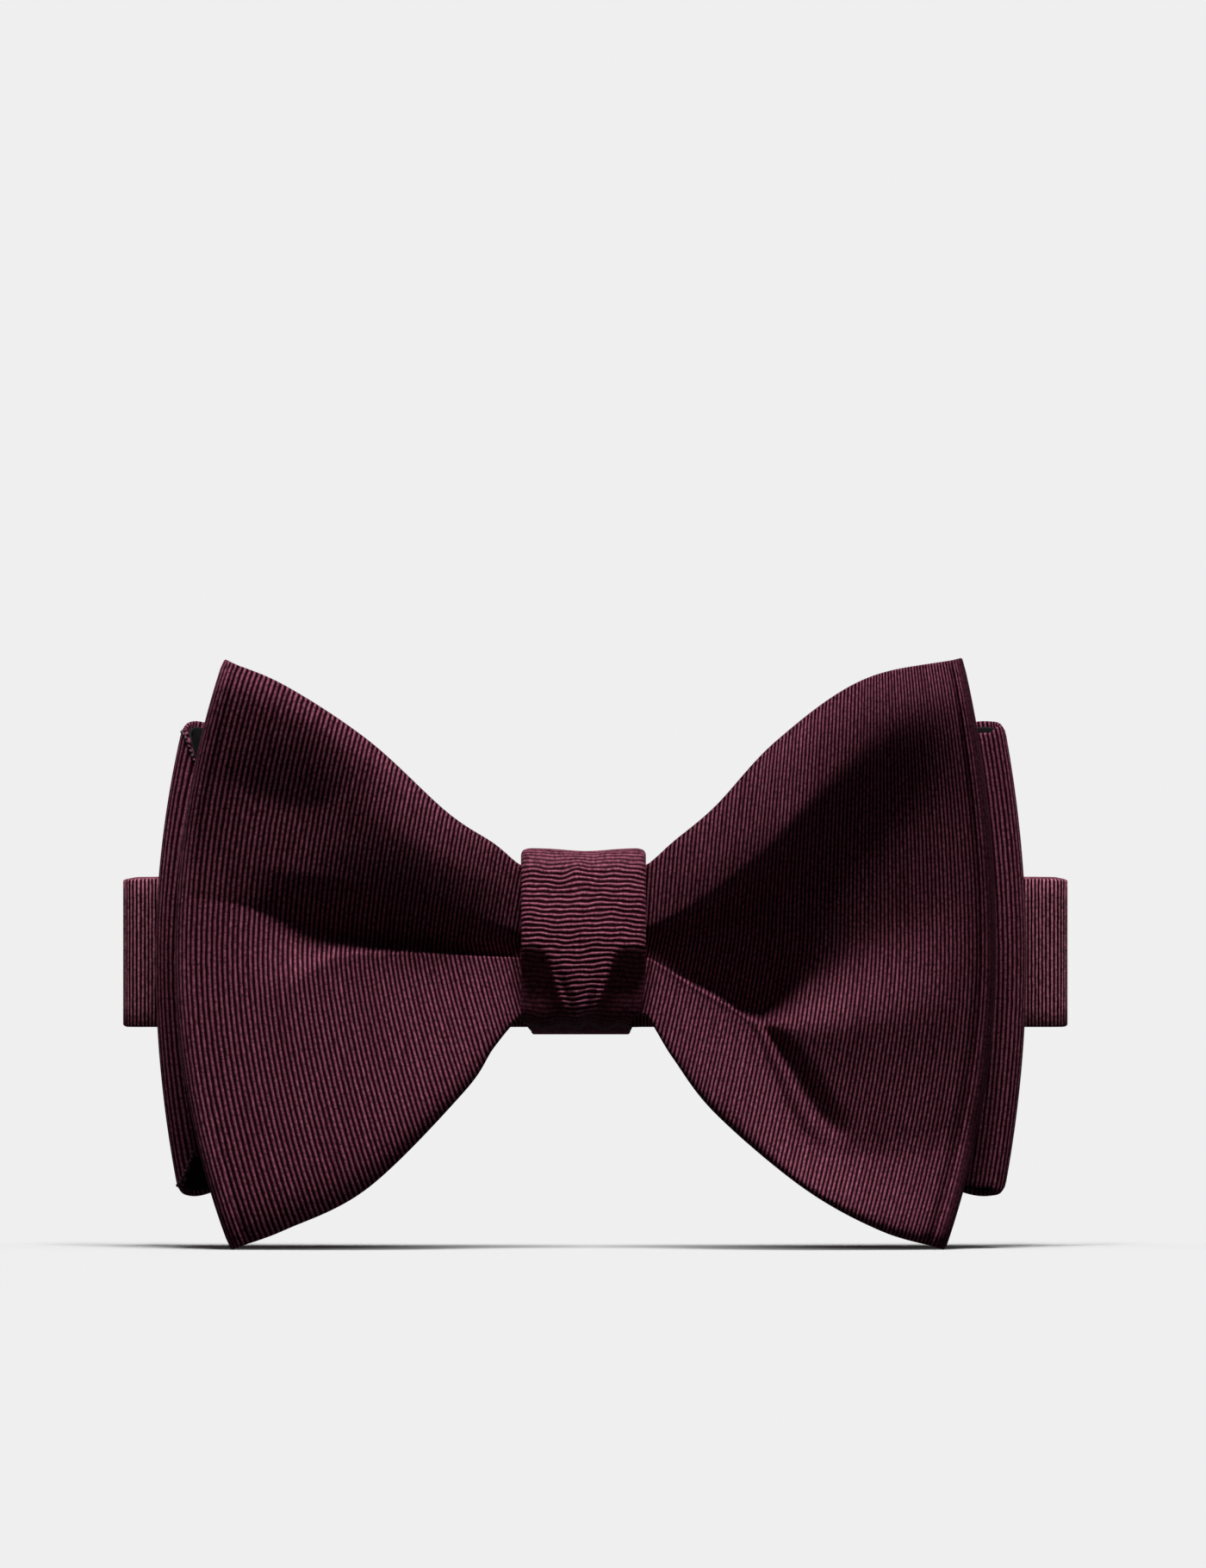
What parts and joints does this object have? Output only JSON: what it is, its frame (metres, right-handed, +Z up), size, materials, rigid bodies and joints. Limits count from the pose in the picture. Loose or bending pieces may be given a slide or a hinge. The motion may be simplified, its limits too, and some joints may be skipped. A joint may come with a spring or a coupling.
{
  "type": "bow tie",
  "caption": "Ready-tied butterfly bow tie in ribbed plum silk: looped wings, wrapped knot and an adjustable neckband that closes behind with a hook and ring.",
  "frame": {"origin": "middle of the knot's back face, where it lies on the front of the collar", "axes": "+X to the right seen from the front, +Y from the bow into the neck, +Z up the wearer's neck"},
  "size_m": [0.1276, 0.1098, 0.0794],
  "materials": {
    "wing_silk": "ribbed silk faille, plum, soft sheen across the ribs",
    "knot_silk": "the same ribbed silk with its ribs running across the knot",
    "band_silk": "the same ribbed silk, flat, with its ribs across the band",
    "interlining": "black woven wool canvas interlining, matt",
    "thread": "twisted sewing thread, dark plum",
    "nickel": "stamped steel, nickel plated, satin"
  },
  "bodies": {
    "bow": {"front_left_wing": "wing_silk", "front_right_wing": "wing_silk", "rear_left_wing": "wing_silk", "rear_right_wing": "wing_silk", "front_left_interlining": "interlining", "front_right_interlining": "interlining", "rear_left_interlining": "interlining", "rear_right_interlining": "interlining", "gathered_waist": "wing_silk", "waist_binding": "thread", "knot_band": "knot_silk", "knot_interlining": "interlining", "knot_closing_stitches": "thread"},
    "band": {"neckband_front": "band_silk"},
    "left_arm": {"neckband_left": "band_silk", "tail_bar_tack": "thread"},
    "right_arm": {"neckband_right": "band_silk", "ring_bar_tack": "thread"},
    "slider": {"slider": "nickel"},
    "hook": {"hook": "nickel"},
    "ring": {"eye_ring": "nickel"}
  },
  "joints": [
    {"name": "band_slide", "type": "slide", "parent": "bow", "child": "band", "axis": [1, 0, 0], "range_m": [-0.012, 0.012]},
    {"name": "left_arm_swing", "type": "hinge", "parent": "band", "child": "left_arm", "pos_m": [-0.0632, 0.00095, 0], "axis": [0, 0, 1], "range_deg": [0, 80]},
    {"name": "right_arm_swing", "type": "hinge", "parent": "band", "child": "right_arm", "pos_m": [0.0644, 0.00095, 0], "axis": [0, 0, -1], "range_deg": [0, 80]},
    {"name": "slider_slide", "type": "slide", "parent": "left_arm", "child": "slider", "axis": [1, 0, 0], "range_m": [-0.002, 0.008]},
    {"name": "hook_swivel", "type": "hinge", "parent": "left_arm", "child": "hook", "pos_m": [0.002, 0.0885, 0], "axis": [0, 0, 1], "range_deg": [-7, 7]},
    {"name": "ring_swivel", "type": "hinge", "parent": "right_arm", "child": "ring", "pos_m": [0.0201, 0.0885, 0], "axis": [0, 0, -1], "range_deg": [-10, 10]}
  ]
}
